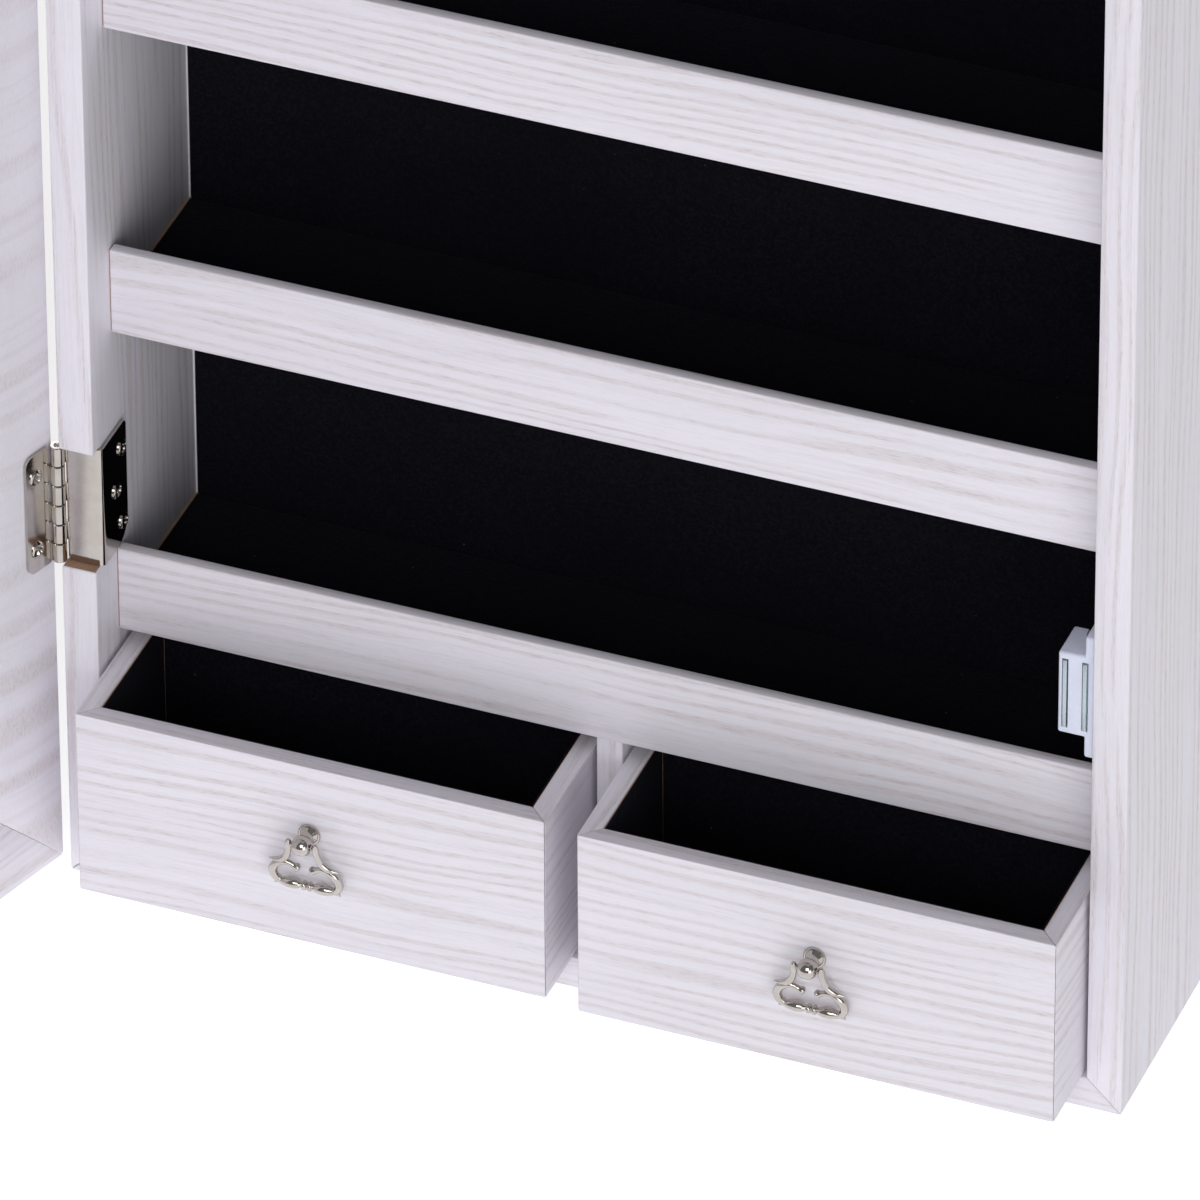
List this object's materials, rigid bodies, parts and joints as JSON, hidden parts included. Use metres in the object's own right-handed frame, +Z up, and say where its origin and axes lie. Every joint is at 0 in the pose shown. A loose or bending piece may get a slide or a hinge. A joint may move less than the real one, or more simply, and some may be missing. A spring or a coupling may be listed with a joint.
{
  "type": "mirror jewellery cabinet",
  "caption": "Full-length mirror on a hinged door that covers a shallow standing cabinet with velvet-lined shelves, small drawers and a folding rear stand.",
  "frame": {"origin": "centre of the wedge plinth's sole, where it rests on the floor", "axes": "+Z up, -Y towards the viewer, +X to the right as the viewer faces the mirror; the cabinet leans back 12 degrees towards +Y"},
  "size_m": [0.4955, 0.8123, 1.2647],
  "materials": {
    "white_wood": "white wood-grain foil, satin",
    "raw_board": "raw fibreboard",
    "velvet": "near-black velvet",
    "nickel": "polished nickel plate",
    "steel": "plain steel",
    "white_plastic": "moulded white plastic",
    "mirror": "silvered glass",
    "black_rubber": "hard black rubber"
  },
  "bodies": {
    "cabinet": {"side_board_left": "white_wood", "side_board_right": "white_wood", "top_board": "white_wood", "bottom_board": "white_wood", "drawer_divider": "white_wood", "shelf_rail_1": "white_wood", "shelf_rail_2": "white_wood", "shelf_rail_3": "white_wood", "back_panel": "raw_board", "velvet_back_lining": "velvet", "ring_cushion": "velvet", "velvet_shelf_1": "velvet", "velvet_shelf_2": "velvet", "velvet_shelf_3": "velvet", "necklace_hook_strip": "nickel", "hinge_leaf_cabinet_lower": "nickel", "hinge_leaf_cabinet_middle": "nickel", "hinge_leaf_cabinet_upper": "nickel", "hinge_pin_lower": "nickel", "hinge_pin_middle": "nickel", "hinge_pin_upper": "nickel", "stand_bracket_left": "nickel", "stand_bracket_right": "nickel", "catch_magnet_lower": "steel", "catch_magnet_upper": "steel", "stand_pivot_pin_left": "steel", "stand_pivot_pin_right": "steel", "catch_housing_lower": "white_plastic", "catch_housing_upper": "white_plastic", "wedge_plinth": "black_rubber"},
    "door": {"door_stile_hinge_side": "white_wood", "door_stile_latch_side": "white_wood", "door_rail_top": "white_wood", "door_rail_bottom": "white_wood", "mirror_glass": "mirror", "door_backing_panel": "white_wood", "strike_plate_lower": "nickel", "strike_plate_upper": "nickel", "hinge_leaf_door_lower": "nickel", "hinge_leaf_door_middle": "nickel", "hinge_leaf_door_upper": "nickel"},
    "drawer_left": {"drawer_left_front": "white_wood", "drawer_left_back": "white_wood", "drawer_left_wall_left": "white_wood", "drawer_left_wall_right": "white_wood", "drawer_left_floor": "white_wood", "drawer_left_velvet_liner": "velvet", "pull_post_left": "nickel"},
    "drawer_right": {"drawer_right_front": "white_wood", "drawer_right_back": "white_wood", "drawer_right_wall_left": "white_wood", "drawer_right_wall_right": "white_wood", "drawer_right_floor": "white_wood", "drawer_right_velvet_liner": "velvet", "pull_post_right": "nickel"},
    "bail_left": {"pull_bail_left": "nickel"},
    "bail_right": {"pull_bail_right": "nickel"},
    "stand": {"stand_leg_left": "white_wood", "stand_leg_right": "white_wood", "stand_cross_rail": "white_wood"}
  },
  "joints": [
    {"name": "door_hinge", "type": "hinge", "parent": "cabinet", "child": "door", "pos_m": [-0.1841, 0.07341, 0.6075], "axis": [0, -0.2079, -0.9781], "range_deg": [-107.4, 27.6]},
    {"name": "drawer_left_slide", "type": "slide", "parent": "cabinet", "child": "drawer_left", "axis": [0, -0.9781, 0.2079], "range_m": [-0.0407, 0.0107]},
    {"name": "drawer_right_slide", "type": "slide", "parent": "cabinet", "child": "drawer_right", "axis": [0, -0.9781, 0.2079], "range_m": [-0.0432, 0.0113]},
    {"name": "bail_left_swing", "type": "hinge", "parent": "drawer_left", "child": "bail_left", "pos_m": [-0.0875, -0.07204, 0.08338], "axis": [-1, 0, 0], "range_deg": [-1.5, 30]},
    {"name": "bail_right_swing", "type": "hinge", "parent": "drawer_right", "child": "bail_right", "pos_m": [0.0875, -0.07448, 0.0839], "axis": [-1, 0, 0], "range_deg": [-1.5, 30]},
    {"name": "stand_fold", "type": "hinge", "parent": "cabinet", "child": "stand", "pos_m": [0, 0.2243, 0.80034], "axis": [1, 0, 0], "range_deg": [-25, 0]}
  ],
  "couplings": [
    {"joint": "drawer_left_slide", "follows": "door_hinge", "m_per_rad": 0.02171},
    {"joint": "drawer_right_slide", "follows": "door_hinge", "m_per_rad": 0.02304}
  ]
}
